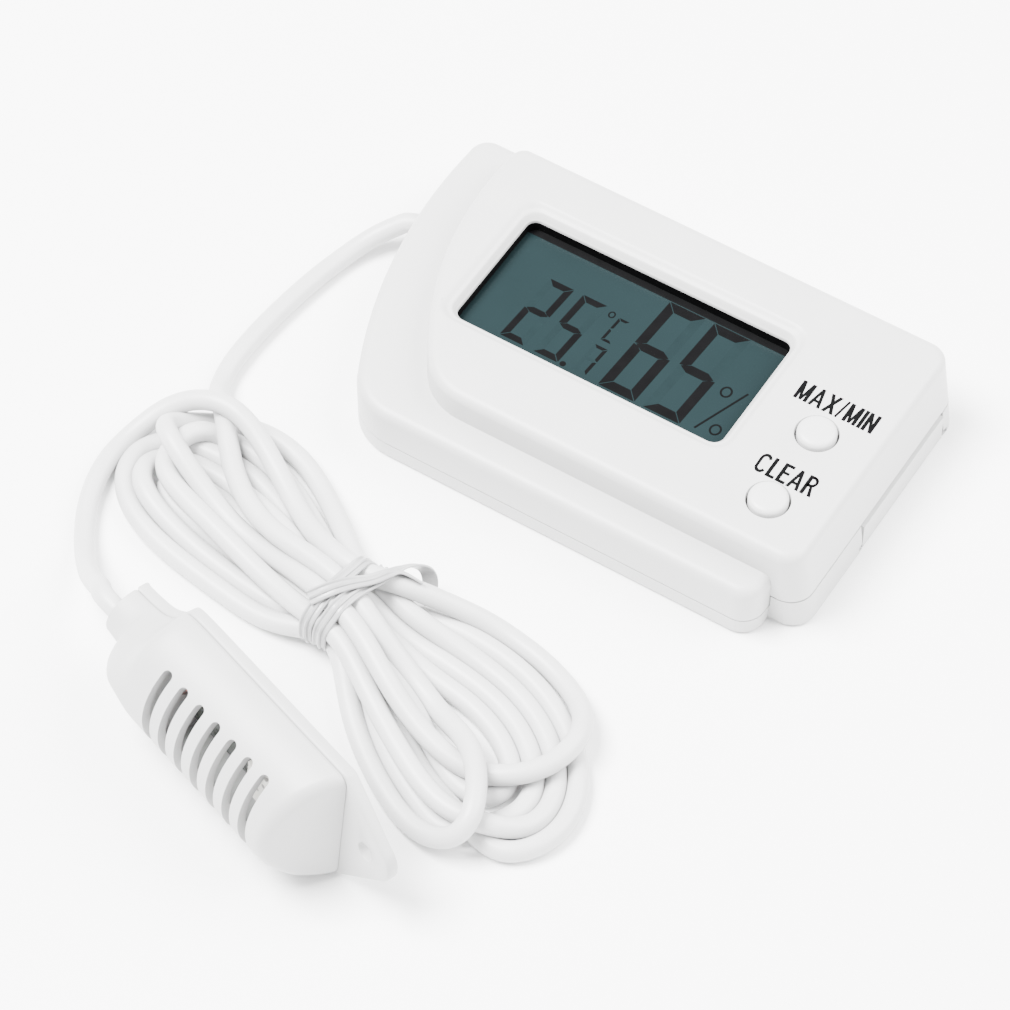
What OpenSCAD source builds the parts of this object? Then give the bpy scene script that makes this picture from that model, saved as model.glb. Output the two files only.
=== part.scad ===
// Maximum minimum thermometer and hygrometer with a slotted probe on a tied cord.
// Frame: +X right of the display, +Y top of the display, +Z out of the display.
// Origin: centre of the case's back face, which lies on the ground.

/* [Case] */
// Height of the raised display plate above the back face
plate_top = 14.1; // [14.0:0.1:14.4]
// Height of the low wing along the left and front sides
wing_top = 9.3; // [9.0:0.1:9.6]
// Height of the seam round the main body
seam_main = 5.1; // [5.0:0.05:5.3]
// Height of the seam round the wing
seam_wing = 2.95; // [2.9:0.05:3.1]
// Wall thickness of both shells
wall = 1.6; // [1.5:0.1:1.7]
// Position of the right wall
right_x = 40; // [39.9:0.1:40.3]
// Position of the front wall of the main body
front_y = -20.5; // [-20.6:0.1:-20.4]
// Position of the top wall of the main body
back_y = 22.9; // [22.8:0.1:23.1]

/* [Window] */
// Width of the opening over the display
window_w = 42.1; // [41.8:0.1:42.4]
// Height of the opening over the display
window_h = 20.5; // [20.3:0.1:20.7]
// Centre of the opening, left to right
window_x = -2.15; // [-2.25:0.05:-2.05]
// Centre of the opening, front to top
window_y = 2.75; // [2.65:0.05:2.85]
// Width of the sloped border round the opening
bezel_w = 2.1; // [1.9:0.1:2.2]
// Depth of the sloped border
bezel_depth = 1.7; // [1.5:0.1:1.8]

/* [Buttons] */
// Diameter of a button cap
button_d = 5.5; // [5.3:0.1:5.6]
// Diameter of the hole a button runs in
button_hole_d = 6.1; // [6.1:0.1:6.2]
// Height of a button above the display plate
button_proud = 0.95; // [0.8:0.05:1.0]
// Travel of a button
button_travel = 0.7; // [0.6:0.05:0.7]
// Position of both buttons, left to right
button_x = 29.6; // [29.5:0.1:29.7]
// Position of the upper button
max_min_y = 0.2; // [0.1:0.1:0.3]
// Position of the lower button
clear_y = -12.7; // [-12.8:0.1:-12.6]

/* [Battery] */
// Diameter of a button cell
cell_d = 11.6; // [11.5:0.1:11.6]
// Height of a button cell
cell_h = 5.4; // [5.3:0.1:5.4]

/* [Probe] */
// Length of the probe's body
probe_len = 32; // [31.8:0.1:32.2]
// Radius of the probe's dome
probe_r = 10.25; // [10.2:0.05:10.3]
// Thickness of the probe's base
base_t = 1.8; // [1.7:0.1:1.8]
// Length of the probe's neck
neck_len = 12; // [11.8:0.1:12.2]
// Half width of the neck's end
neck_r = 3.9; // [3.8:0.05:4.0]
// Diameter of the hole in the ear
ear_hole_d = 2.9; // [2.7:0.1:3.0]
// Distance from the body's end to the ear hole
ear_reach = 4.6; // [4.5:0.1:4.8]
// Width of one slot
slot_w = 1.6; // [1.5:0.05:1.65]
// Distance from slot to slot
slot_pitch = 3.38; // [3.36:0.01:3.4]

/* [Cord] */
// Diameter of the cord
cord_d = 2.9; // [2.8:0.05:2.95]
// Height of the tied hank
hank_h = 5.8; // [5.6:0.1:6.0]

/* [Hidden] */
$fn = 48;
GAP = 0.1;
SLICE = 0.06;
// rounding of the upper edges of the plate and the wing
plate_round = 1.5;
wing_round = 2.3;
// plan of the main body
main_corner_r = 3.5;
main_tl_r = 2.5;
main_tl = [-29.2, 20.4];
main_arc_r = 54;
main_arc = [22, 15];
main_bl_r = 9.5;
main_bl = [-14.1, -11];
main_tl_a = 174;
main_bl_a = 215.8;
// inward lean of the right wall and of the others at the upper edge
lean_right = 1.35;
lean = 0.33;
// plan of the wing
wing_arc_r = 80;
wing_arc = [40.7, 16];
wing_tl_r = 3;
wing_tl = [-36.1, 21.8];
wing_tr = [-33.5, 21.8];
wing_bl_r = 8.5;
wing_bl = [-23, -16.5];
wing_tl_a = 175.7;
wing_bl_a = 207;
wing_end_r = 3.3;
wing_end = [31.5, -21.7];
// inner heights
ceiling = 12.1;
wing_ceiling = wing_top - wall;
lcd_top = 10.4;
lcd_t = 1.4;
pcb_z = 7.05;
pcb_t = 0.8;
pcb_top = pcb_z + pcb_t;
cavity_right = 37.1;
// height of a snap dome, and of a button's stem above it
dome_h = 0.4;
stem_z = pcb_top + dome_h + 0.35 + button_travel;
// fasteners
case_screw_at = [[-35, 16], [-14, -21], [34.95, -16], [9, 18.4]];
pcb_screw_at = [[-18.6, -13], [14, -13.2], [34.2, 14.4], [-27, 12.5]];
// batteries
cell_z = 1.45;
cell_y = 7.5;
cell_a_x = 18.8;
cell_b_x = 31;
door_y0 = -4;
door_y1 = 18.6;
door_x0 = 11.9;
// cord
cord_r = cord_d / 2;
exit_y = 9.2;
exit_z = 4.6;
// probe pose: origin of its base plane, heading and tilt
probe_o = [-21.42, -73.35, 10.61];
probe_az = -18.7;
probe_tilt = 6.8;
neck_w = 2.3;

function arc(c, r, a0, a1, n) = [for (i = [0:n]) c + r * [cos(a0 + (a1 - a0) * i / n), sin(a0 + (a1 - a0) * i / n)]];

// outline of the main body, drawn d inside the wall, with the right wall moved in by rx
function main_pts(d, rx = 0) = concat(
    arc([right_x - rx - main_corner_r, front_y + main_corner_r], main_corner_r - d, -90, 0, 8),
    arc([right_x - rx - main_corner_r, back_y - main_corner_r], main_corner_r - d, 0, 90, 8),
    arc(main_tl, main_tl_r - d, 90, main_tl_a, 8),
    arc(main_arc, main_arc_r - d, main_tl_a, main_bl_a, 16),
    arc(main_bl, main_bl_r - d, main_bl_a, 270, 10));

// outline of the wing, drawn d inside the wall
function wing_pts(d) = concat(
    arc(wing_end, wing_end_r - d, -90, 0, 8),
    [[wing_end[0] + wing_end_r - d, -12]],
    arc(wing_tr, wing_tl_r - d, 0, 90, 6),
    arc(wing_tl, wing_tl_r - d, 90, wing_tl_a, 6),
    arc(wing_arc, wing_arc_r - d, wing_tl_a, wing_bl_a, 14),
    arc(wing_bl, wing_bl_r - d, wing_bl_a, 270, 10));

module main_slab(z0, z1, d, rx = 0) {
    translate([0, 0, z0])
    linear_extrude(z1 - z0)
    polygon(main_pts(d, rx));
}

module wing_slab(z0, z1, d) {
    translate([0, 0, z0])
    linear_extrude(z1 - z0)
    polygon(wing_pts(d));
}

module main_slice(z, d, rx) {
    main_slab(z - SLICE, z, d, rx);
}

module wing_slice(z, d) {
    wing_slab(z - SLICE, z, d);
}

// solid upper part of the main body with its rounded edge
module main_upper() {
    hull() {
        main_slice(seam_main + GAP / 2 + SLICE, 0.12, 0.5);
        main_slice(plate_top - plate_round, lean, lean_right);
        main_slice(plate_top - 0.62 * plate_round, lean + 0.076 * plate_round, lean_right);
        main_slice(plate_top - 0.29 * plate_round, lean + 0.293 * plate_round, lean_right);
        main_slice(plate_top - 0.076 * plate_round, lean + 0.62 * plate_round, lean_right);
        main_slice(plate_top, lean + plate_round, lean_right);
    }
}

// solid upper part of the wing with its rounded edge
module wing_upper() {
    hull() {
        wing_slice(seam_wing + GAP / 2 + SLICE, 0);
        wing_slice(wing_top - wing_round, 0);
        wing_slice(wing_top - 0.617 * wing_round, 0.076 * wing_round);
        wing_slice(wing_top - 0.293 * wing_round, 0.293 * wing_round);
        wing_slice(wing_top - 0.076 * wing_round, 0.617 * wing_round);
        wing_slice(wing_top, 0.95 * wing_round);
    }
}

module round_rect(w, h, r, t) {
    linear_extrude(t)
    union() {
        square([w - 2 * r, h], center = true);
        square([w, h - 2 * r], center = true);
        translate([w / 2 - r, h / 2 - r]) circle(r);
        translate([r - w / 2, h / 2 - r]) circle(r);
        translate([w / 2 - r, r - h / 2]) circle(r);
        translate([r - w / 2, r - h / 2]) circle(r);
    }
}

module at_window(z) {
    translate([window_x, window_y, z]) children();
}

// sloped border and opening of the window
module window_cut() {
    at_window(0)
    hull() {
        translate([0, 0, plate_top + 0.01]) round_rect(window_w + 2 * bezel_w, window_h + 2 * bezel_w, 2.8, 0.02);
        translate([0, 0, plate_top - 0.5]) round_rect(window_w + 2 * bezel_w - 1, window_h + 2 * bezel_w - 1, 2.4, 0.02);
        translate([0, 0, plate_top - bezel_depth]) round_rect(window_w + 0.6, window_h + 0.6, 1.6, 0.02);
    }
    at_window(lcd_top - 1) round_rect(window_w, window_h, 1.3, 4);
}

// frame under the opening that the display rests against
module window_frame() {
    at_window(lcd_top + 0.02) round_rect(window_w + 3, window_h + 3, 1.5, ceiling - lcd_top + 0.1);
}

module posts(at, r, z0, z1) {
    for (p = at) {
        translate([p[0], p[1], z0]) cylinder(r = r, h = z1 - z0, $fn = 32);
    }
}

// everything hollow inside the front shell
module front_cavity() {
    intersection() {
        main_slab(seam_wing - 1, ceiling, wall + lean);
        translate([-60, -40, 0]) cube([60 + cavity_right, 80, 20]);
    }
    wing_slab(seam_wing - 1, wing_ceiling, wall);
}

module front_shell() {
    color([0.92, 0.92, 0.91])
    difference() {
        union() {
            difference() {
                union() {
                    main_upper();
                    wing_upper();
                }
                front_cavity();
            }
            window_frame();
            posts([case_screw_at[0], case_screw_at[1]], 2.3, seam_wing + GAP / 2, wing_ceiling + 0.1);
            posts([case_screw_at[2], case_screw_at[3]], 2.3, seam_wing + GAP / 2, ceiling + 0.1);
            posts(pcb_screw_at, 1.8, pcb_top, ceiling + 0.1);
        }
        window_cut();
        posts(case_screw_at, 0.95, seam_wing - 1, 7.3);
        posts(pcb_screw_at, 0.7, pcb_top - 1, 10.9);
        translate([button_x, max_min_y, ceiling - 1]) cylinder(d = button_hole_d, h = 4);
        translate([button_x, clear_y, ceiling - 1]) cylinder(d = button_hole_d, h = 4);
        translate([-45, exit_y, exit_z]) rotate([0, 90, 0]) cylinder(r = cord_r + 0.1, h = 9);
    }
}

module cells_plan(extra) {
    for (x = [cell_a_x, cell_b_x]) {
        translate([x, cell_y]) circle(d = cell_d + 2 * extra);
    }
}

// ring wall that keeps the two cells in place
module cell_wall() {
    difference() {
        translate([0, 0, 1.6]) linear_extrude(3.4) cells_plan(1.25);
        translate([cell_a_x - 8, cell_y - 1.2, 2.8]) cube([3, 2.4, 6]);
        translate([cell_a_x + 3, cell_y - 4, 2.8]) cube([6.2, 8, 6]);
    }
}

module battery_floor() {
    translate([10.8, -6, 0.4]) cube([26, 26.6, 2.1]);
}

module door_space() {
    translate([door_x0, door_y0, -1]) cube([40, door_y1 - door_y0, 2.45]);
    translate([door_x0, door_y0 - 0.9, 0.4]) cube([40, door_y1 - door_y0 + 1.8, 1]);
    translate([37, door_y0, -1]) cube([6, door_y1 - door_y0, 8]);
    translate([36.9, door_y0 - 0.9, 0.4]) cube([6, door_y1 - door_y0 + 1.8, 1]);
}

module rear_shell() {
    color([0.9, 0.9, 0.89])
    difference() {
        union() {
            difference() {
                union() {
                    hull() {
                        main_slab(0, 0.02, 0.5);
                        main_slab(0.5, 0.52, 0);
                        main_slab(seam_main - GAP / 2 - 0.02, seam_main - GAP / 2, 0.1, 0.45);
                    }
                    hull() {
                        wing_slab(0, 0.02, 0.5);
                        wing_slab(0.5, seam_wing - GAP / 2, 0);
                    }
                }
                main_slab(1.6, seam_main + 1, wall + 0.2, 0.4);
                wing_slab(1.6, seam_main + 1, wall);
                hull() wing_slab(seam_wing - GAP / 2, seam_main + 1, -0.12);
            }
            intersection() {
                battery_floor();
                main_slab(0.4, 4, wall);
            }
            cell_wall();
            posts(case_screw_at, 2.5, 1.5, seam_wing - GAP / 2);
        }
        door_space();
        translate([0, 0, -1]) linear_extrude(9) cells_plan(0.25);
        posts(case_screw_at, 2, -1, 1.3);
        posts(case_screw_at, 1.1, -1, 4);
    }
}

module battery_door() {
    color([0.9, 0.9, 0.89])
    difference() {
        union() {
            translate([door_x0 + 0.3, door_y0 + 0.3, 0.2]) cube([27.2, door_y1 - door_y0 - 0.6, 0.95]);
            translate([door_x0 + 1.3, door_y0 - 0.6, 0.7]) cube([23.6, door_y1 - door_y0 + 1.2, 0.4]);
            translate([37.6, door_y0 + 0.3, 0.2]) cube([2.2, door_y1 - door_y0 - 0.6, 4.6]);
        }
        for (i = [0:3]) {
            translate([20 + 1.6 * i, 3.3, -0.5]) cube([0.7, 8, 1]);
        }
    }
}

module lcd_glass() {
    color([0.35, 0.42, 0.42])
    at_window(lcd_top - lcd_t)
    translate([0, 0, lcd_t / 2])
    cube([window_w + 1.6, window_h + 2.4, lcd_t], center = true);
}

module lcd_reflector() {
    color([0.75, 0.77, 0.75])
    at_window(lcd_top - lcd_t - 0.15)
    translate([-window_w / 2, -window_h / 2 + 1.5, 0])
    cube([window_w, window_h - 1.5, 0.15]);
}

module zebra_strip() {
    color([0.85, 0.45, 0.5])
    at_window(pcb_top)
    translate([-window_w / 2 + 1, -window_h / 2 - 1.1, 0])
    cube([window_w - 2, 2.2, lcd_top - lcd_t - pcb_top]);
}

module main_pcb() {
    color([0.12, 0.4, 0.2])
    difference() {
        translate([0, 0, pcb_z])
        linear_extrude(pcb_t)
        polygon([[-28.8, 17], [-29.2, 8], [-25.8, -2], [-20.6, -12.4], [-14.4, -16.6], [36.2, -16.6], [36.2, 17]]);
        posts(pcb_screw_at, 0.9, pcb_z - 1, pcb_top + 1);
        posts([case_screw_at[2]], 2.6, pcb_z - 1, pcb_top + 1);
        posts([case_screw_at[3]], 2.6, pcb_z - 1, pcb_top + 1);
    }
}

module controller_chip() {
    color([0.08, 0.08, 0.09])
    intersection() {
        translate([-6, 3, pcb_z + 6.2]) sphere(r = 7.5);
        translate([-6, 3, pcb_z - 1.3]) cylinder(r = 6, h = 1.3);
    }
}

module button_cap(y) {
    color([0.95, 0.95, 0.95])
    translate([button_x, y, 0])
    rotate_extrude()
    polygon([[0, stem_z], [1.5, stem_z], [1.5, 11], [3.8, 11], [3.8, 11.8], [button_d / 2, 11.8],
        [button_d / 2, plate_top + button_proud - 0.85], [button_d / 2 - 0.12, plate_top + button_proud - 0.5],
        [button_d / 2 - 0.45, plate_top + button_proud - 0.22], [button_d / 2 - 0.95, plate_top + button_proud - 0.1],
        [1, plate_top + button_proud - 0.02], [0, plate_top + button_proud]]);
}

module max_min_button() {
    button_cap(max_min_y);
}

module clear_button() {
    button_cap(clear_y);
}

module snap_dome(y) {
    color([0.8, 0.78, 0.7])
    translate([button_x, y, pcb_top])
    rotate_extrude()
    polygon([[0, 0], [2.5, 0], [2.4, 0.15], [1.2, dome_h - 0.04], [0, dome_h]]);
}

module max_min_dome() {
    snap_dome(max_min_y);
}

module clear_dome() {
    snap_dome(clear_y);
}

module screw(head_r, head_h, shank_r, shank_h) {
    difference() {
        cylinder(r = head_r, h = head_h, $fn = 32);
        translate([-head_r * 0.55, -0.2, -1]) cube([head_r * 1.1, 0.4, 1.5]);
        translate([-0.2, -head_r * 0.55, -1]) cube([0.4, head_r * 1.1, 1.5]);
    }
    translate([0, 0, head_h]) cylinder(r = shank_r, h = shank_h, $fn = 32);
}

module case_screws() {
    color([0.7, 0.7, 0.72])
    for (p = case_screw_at) {
        translate([p[0], p[1], 0.15]) screw(1.8, 1.15, 0.95, 5.7);
    }
}

module pcb_screws() {
    color([0.7, 0.7, 0.72])
    for (p = pcb_screw_at) {
        translate([p[0], p[1], pcb_z - 0.9]) screw(1.6, 0.9, 0.7, 4.3);
    }
}

module battery_cell(x) {
    color([0.78, 0.79, 0.8])
    translate([x, cell_y, cell_z])
    rotate_extrude()
    polygon([[0, 0], [cell_d / 2 - 0.4, 0], [cell_d / 2, 0.4], [cell_d / 2, cell_h - 0.7],
        [cell_d / 2 - 0.5, cell_h - 0.3], [cell_d / 2 - 1, cell_h - 0.3], [cell_d / 2 - 1, cell_h], [0, cell_h]]);
}

module battery_cell_a() {
    battery_cell(cell_a_x);
}

module battery_cell_b() {
    battery_cell(cell_b_x);
}

module battery_contact_pos() {
    color([0.8, 0.75, 0.55])
    translate([cell_a_x - cell_d / 2 - 0.22, cell_y - 0.6, 3])
    cube([0.2, 1.2, pcb_z - 3]);
}

module battery_contact_neg() {
    color([0.8, 0.75, 0.55])
    translate([cell_b_x - 3, cell_y - 1, cell_z + cell_h])
    cube([7, 2, pcb_z - cell_z - cell_h]);
}

module battery_bridge() {
    color([0.8, 0.75, 0.55])
    union() {
        translate([cell_a_x - 2, cell_y - 0.6, cell_z + cell_h])
        cube([cell_b_x - cell_d / 2 - cell_a_x + 1.98, 1.2, pcb_z - cell_z - cell_h]);
        translate([cell_b_x - cell_d / 2 - 0.22, cell_y - 0.6, 3])
        cube([0.2, 1.2, pcb_z - 3]);
    }
}

module lead_core_wires() {
    color([0.75, 0.2, 0.15])
    for (i = [0:3]) {
        translate([-33, exit_y - 0.75 + 0.5 * i, exit_z]) rotate([0, 90, 0]) cylinder(r = 0.22, h = 7.6, $fn = 16);
        translate([-25.4, exit_y - 0.75 + 0.5 * i, exit_z - 0.22]) cylinder(r = 0.22, h = pcb_z - exit_z + 0.22, $fn = 16);
    }
}

// places children drawn as (along the probe, across it, out of its base plane)
module in_probe() {
    translate(probe_o)
    rotate([-probe_tilt, 0, probe_az])
    rotate([90, 0, 0])
    children();
}

// a point of the probe's frame in the object's frame
function probe_pt(u, v, w) = let (
    y = -w * cos(probe_tilt) + v * sin(probe_tilt),
    z = w * sin(probe_tilt) + v * cos(probe_tilt))
    probe_o + [u * cos(probe_az) - y * sin(probe_az), u * sin(probe_az) + y * cos(probe_az), z];

// outline of half the probe's body: distance along it, then radius, drawn d inside
function body_half(d) = [[-1.6 + d, 0], [-1.6 + d, 6.6 - d], [-0.9 + d, 8.3 - d], [0.4 + d, 9.6 - d],
    [2.2, 10.1 - d], [3.6, probe_r - d], [28.4, probe_r - d], [29.6 - d / 2, 10 - d], [30.5 - d, 9 - d],
    [31.4 - d, 4.5], [probe_len - d, 0]];

module body_turned(d) {
    rotate([0, 90, 0])
    rotate_extrude($fn = 96)
    polygon([for (p = body_half(d)) [p[1], p[0]]]);
}

module neck_slice(u, r, w) {
    translate([u, 0, w])
    rotate([0, 90, 0])
    cylinder(r = r, h = 0.1, $fn = 32);
}

module neck(d) {
    hull() {
        neck_slice(-neck_len, neck_r - d, 1.2);
        neck_slice(-neck_len, neck_r - d, -1.2);
        neck_slice(-5, neck_r + 0.8 - d, 1.2);
        neck_slice(-5, neck_r + 0.8 - d, -1.2);
        neck_slice(0, neck_r + 2.6 - d, 0);
    }
}

module probe_cover() {
    color([0.93, 0.93, 0.92])
    in_probe()
    difference() {
        union() {
            body_turned(0);
            neck(0);
        }
        translate([2, 0, 0]) rotate([0, 90, 0]) cylinder(r = probe_r - 1.3, h = probe_len - 5, $fn = 96);
        translate([-20, -20, -20 + GAP / 2]) cube([80, 40, 20]);
        for (i = [0:6]) {
            translate([4.1 - slot_w / 2 + slot_pitch * i, -7.7, 5.9]) cube([slot_w, 15.4, 8]);
        }
        translate([-neck_len - 1, 0, neck_w]) rotate([0, 90, 0]) cylinder(r = cord_r + 0.05, h = neck_len + 4);
    }
}

module probe_base() {
    color([0.93, 0.93, 0.92])
    in_probe()
    difference() {
        translate([0, 0, -base_t])
        linear_extrude(base_t - GAP / 2)
        union() {
            polygon([[-neck_len, -3.9], [-5, -4.7], [-2.4, -6.4], [-0.9, -8.6], [0.4, -9.8], [2.2, -10.25],
                [probe_len - 1, -10.25], [probe_len, -9.9], [probe_len + ear_reach + 1.9, -2.8],
                [probe_len + ear_reach + 1.9, 2.8], [probe_len, 9.9], [probe_len - 1, 10.25], [2.2, 10.25],
                [0.4, 9.8], [-0.9, 8.6], [-2.4, 6.4], [-5, 4.7], [-neck_len, 3.9]]);
            translate([probe_len + ear_reach, 0]) circle(r = 3.4);
        }
        translate([probe_len + ear_reach, 0, -base_t - 1]) cylinder(d = ear_hole_d, h = base_t + 2);
    }
}

module probe_pcb() {
    color([0.12, 0.4, 0.2])
    in_probe()
    translate([2.6, -6.5, 0.6])
    cube([25.4, 13, 0.8]);
}

module humidity_sensor() {
    color([0.93, 0.92, 0.85])
    in_probe()
    translate([18.4, -3, 1.4])
    cube([9.4, 6, 3.4]);
}

module thermistor() {
    color([0.1, 0.1, 0.1])
    in_probe() {
        translate([8.4, 0, 3.4]) sphere(r = 1.1);
        translate([8.4, 0.45, 1.4]) cylinder(r = 0.2, h = 1.6, $fn = 16);
        translate([8.4, -0.45, 1.4]) cylinder(r = 0.2, h = 1.6, $fn = 16);
    }
}

module probe_core_wires() {
    color([0.75, 0.2, 0.15])
    in_probe()
    for (i = [0:3]) {
        translate([2.2, -0.75 + 0.5 * i, neck_w]) rotate([0, 90, 0]) cylinder(r = 0.22, h = 1.8, $fn = 16);
        translate([3.8, -0.75 + 0.5 * i, 1.4]) cylinder(r = 0.22, h = neck_w - 1.2, $fn = 16);
    }
}

// smooth line through the route points
function spline(p, i, t) = let (
    a = p[max(i - 1, 0)], b = p[i], c = p[i + 1], d = p[min(i + 2, len(p) - 1)])
    0.5 * (2 * b + (c - a) * t + (2 * a - 5 * b + 4 * c - d) * t * t + (3 * b - a - 3 * c + d) * t * t * t);

function route(p, n) = [for (i = [0:len(p) - 2]) each [for (k = [0:n - 1]) spline(p, i, k / n)], p[len(p) - 1]];

function unit(v) = v / norm(v);

function heading(r, i) = unit(r[min(i + 1, len(r) - 1)] - r[max(i - 1, 0)]);

// round tube of eight sides along a route
module tube(r, rad) {
    rings = [for (i = [0:len(r) - 1]) let (
        t = heading(r, i), s = unit(cross(t, [0, 0, 1])), u = cross(s, t))
        [for (k = [0:7]) r[i] + rad * (cos(45 * k) * s + sin(45 * k) * u)]];
    pts = [for (q = rings) each q];
    m = len(rings);
    sides = [for (i = [0:m - 2]) each [for (k = [0:7])
        [8 * i + k, 8 * i + (k + 1) % 8, 8 * (i + 1) + (k + 1) % 8, 8 * (i + 1) + k]]];
    polyhedron(points = pts, faces = concat(sides, [[for (k = [7:-1:0]) k]], [[for (k = [0:7]) 8 * (m - 1) + k]]));
}

lead_route = [[-33, exit_y, exit_z], [-38.5, exit_y, exit_z], [-41.8, 8.1, 4], [-44.6, 4.8, 2.6], [-46.6, 0.8, 1.6],
    [-47.9, -4.8, 1.5], [-48.8, -11, 1.5], [-49.3, -17.5, 1.5], [-49.3, -24, 1.5], [-47.2, -31.5, 1.6]];

tail_route = [[-39.5, -34.6, 4.2], [-43, -33.7, 4.8], [-47.2, -34, 5], [-51, -36.6, 3.8], [-53.2, -40.6, 2.2],
    [-53.8, -45, 1.6], [-53.4, -49.5, 1.5], [-51.8, -54, 1.5], [-49, -58.6, 1.7], [-45, -62.8, 3.2],
    [-40.8, -66.4, 6], probe_pt(-neck_len - 4, 0, neck_w - 0.2), probe_pt(-neck_len, 0, neck_w),
    probe_pt(2.2, 0, neck_w)];

module cord_lead() {
    color([0.94, 0.94, 0.93]) tube(route(lead_route, 2), cord_r);
}

module cord_tail() {
    color([0.94, 0.94, 0.93]) tube(route(tail_route, 2), cord_r);
}

// tied coils: two lobes with a narrow waist, raised a little where the tie passes under
module cord_hank() {
    color([0.94, 0.94, 0.93])
    difference() {
        linear_extrude(hank_h)
        union() {
            polygon([[-14, -46], [-24, -38], [-37, -31.9], [-46.2, -33.6], [-50.3, -39], [-49.4, -46], [-44.5, -50.6],
                [-32, -54], [-14, -57], [-10, -57.5], [1, -64.6], [12, -70.2], [22, -72.4], [29.6, -65.5], [29.9, -57.5],
                [24, -48.6], [15.5, -44.4], [3, -44.2], [-10, -46]]);
            translate([-45.4, -38.6]) circle(r = 5.4);
            translate([-44.4, -45.2]) circle(r = 5.4);
            translate([21.6, -66]) circle(r = 7.4);
            translate([21.8, -56]) circle(r = 8);
        }
        translate([-13.9, -70, -1]) cube([3.8, 40, 1.7]);
        translate([-25.5, -42.6, -1]) linear_extrude(20) polygon([[-12, 0], [-4, -6], [-14, -4.6], [-19, 0.5]]);
        translate([12, -57, -1]) linear_extrude(20) polygon([[-12, 3], [-3, 2], [5, -1.4], [-1, -4.4]]);
    }
}

// twist tie round the waist with its twisted end
module cord_tie() {
    color([0.85, 0.86, 0.87])
    difference() {
        union() {
            translate([-13.7, -58.2, 0]) cube([3.4, 13, hank_h + 0.7]);
            translate([-10.4, -48.6, hank_h - 0.2]) cube([6.6, 1.6, 0.9]);
        }
        translate([-20, -57.5, 0.7]) cube([9.8, 11.6, hank_h - 0.7]);
        translate([-20, -57.5, 0.7]) cube([20, 11.6, hank_h - 0.7]);
    }
}

front_shell();
rear_shell();
lcd_glass();
lcd_reflector();
zebra_strip();
main_pcb();
controller_chip();
max_min_button();
clear_button();
max_min_dome();
clear_dome();
case_screws();
pcb_screws();
battery_cell_a();
battery_cell_b();
battery_contact_pos();
battery_contact_neg();
battery_bridge();
battery_door();
lead_core_wires();
probe_cover();
probe_base();
probe_pcb();
humidity_sensor();
thermistor();
probe_core_wires();
cord_lead();
cord_hank();
cord_tail();
cord_tie();
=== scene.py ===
import math
import bpy
import bmesh
import numpy as np
from mathutils import Matrix, Vector


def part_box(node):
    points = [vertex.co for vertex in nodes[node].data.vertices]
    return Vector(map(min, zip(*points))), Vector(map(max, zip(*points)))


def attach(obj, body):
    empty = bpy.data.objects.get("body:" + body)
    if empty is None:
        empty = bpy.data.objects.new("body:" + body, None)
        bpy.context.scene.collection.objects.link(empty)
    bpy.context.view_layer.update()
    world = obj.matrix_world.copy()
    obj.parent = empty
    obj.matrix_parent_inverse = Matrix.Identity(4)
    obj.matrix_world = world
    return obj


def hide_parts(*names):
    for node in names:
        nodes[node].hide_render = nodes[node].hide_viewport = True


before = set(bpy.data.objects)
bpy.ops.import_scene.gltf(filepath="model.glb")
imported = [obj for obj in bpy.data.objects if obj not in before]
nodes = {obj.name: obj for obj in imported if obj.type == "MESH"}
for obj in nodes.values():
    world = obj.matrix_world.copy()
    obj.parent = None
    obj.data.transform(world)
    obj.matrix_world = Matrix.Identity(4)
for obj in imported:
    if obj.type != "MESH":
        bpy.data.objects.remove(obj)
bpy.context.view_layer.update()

# The object's lengths are in millimetres in the CAD frame, and MM turns them into Blender's metres.
MM = 0.001

# ------------------------------------------------------------------ camera
CAMERA_AZIMUTH, CAMERA_ELEVATION = math.radians(32.19), math.radians(53.807)
CAMERA_PLACE = Vector((184.2, -323.6, 485.0))
CAMERA_LENS, CAMERA_SENSOR = 157.57, 36


def add_camera():
    """The photograph's viewing angle: from above, in front and a little to the right of the display."""
    level = math.cos(CAMERA_ELEVATION)
    back = Vector((math.sin(CAMERA_AZIMUTH) * level, -math.cos(CAMERA_AZIMUTH) * level,
                   math.sin(CAMERA_ELEVATION)))
    right = Vector((math.cos(CAMERA_AZIMUTH), math.sin(CAMERA_AZIMUTH), 0))
    up = back.cross(right)
    cam = bpy.data.objects.new("camera", bpy.data.cameras.new("camera"))
    bpy.context.scene.collection.objects.link(cam)
    turn = Matrix((right, up, back)).transposed().to_4x4()
    cam.matrix_world = Matrix.Translation(CAMERA_PLACE * MM) @ turn
    cam.data.sensor_width = CAMERA_SENSOR
    cam.data.lens = CAMERA_LENS
    cam.data.clip_start = 0.01
    cam.data.clip_end = 20
    bpy.context.scene.camera = cam


add_camera()

# ------------------------------------------------------------------ probe's place
PROBE_TURN, PROBE_TILT = math.radians(-18.7), math.radians(6.8)
PROBE_ORIGIN = np.array([-21.42, -73.35, 10.61])


def probe_point(u, v, w):
    """Place of a point of the probe: u along it from the cord's end, v across it, w out of its base."""
    y = -w * math.cos(PROBE_TILT) + v * math.sin(PROBE_TILT)
    z = w * math.sin(PROBE_TILT) + v * math.cos(PROBE_TILT)
    return PROBE_ORIGIN + np.array([u * math.cos(PROBE_TURN) - y * math.sin(PROBE_TURN),
                                    u * math.sin(PROBE_TURN) + y * math.cos(PROBE_TURN), z])


# ------------------------------------------------------------------ cord
CORD_D = 2.9
CORD_R = CORD_D / 2
EXIT = (-38.5, 9.2, 4.6)

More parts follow.
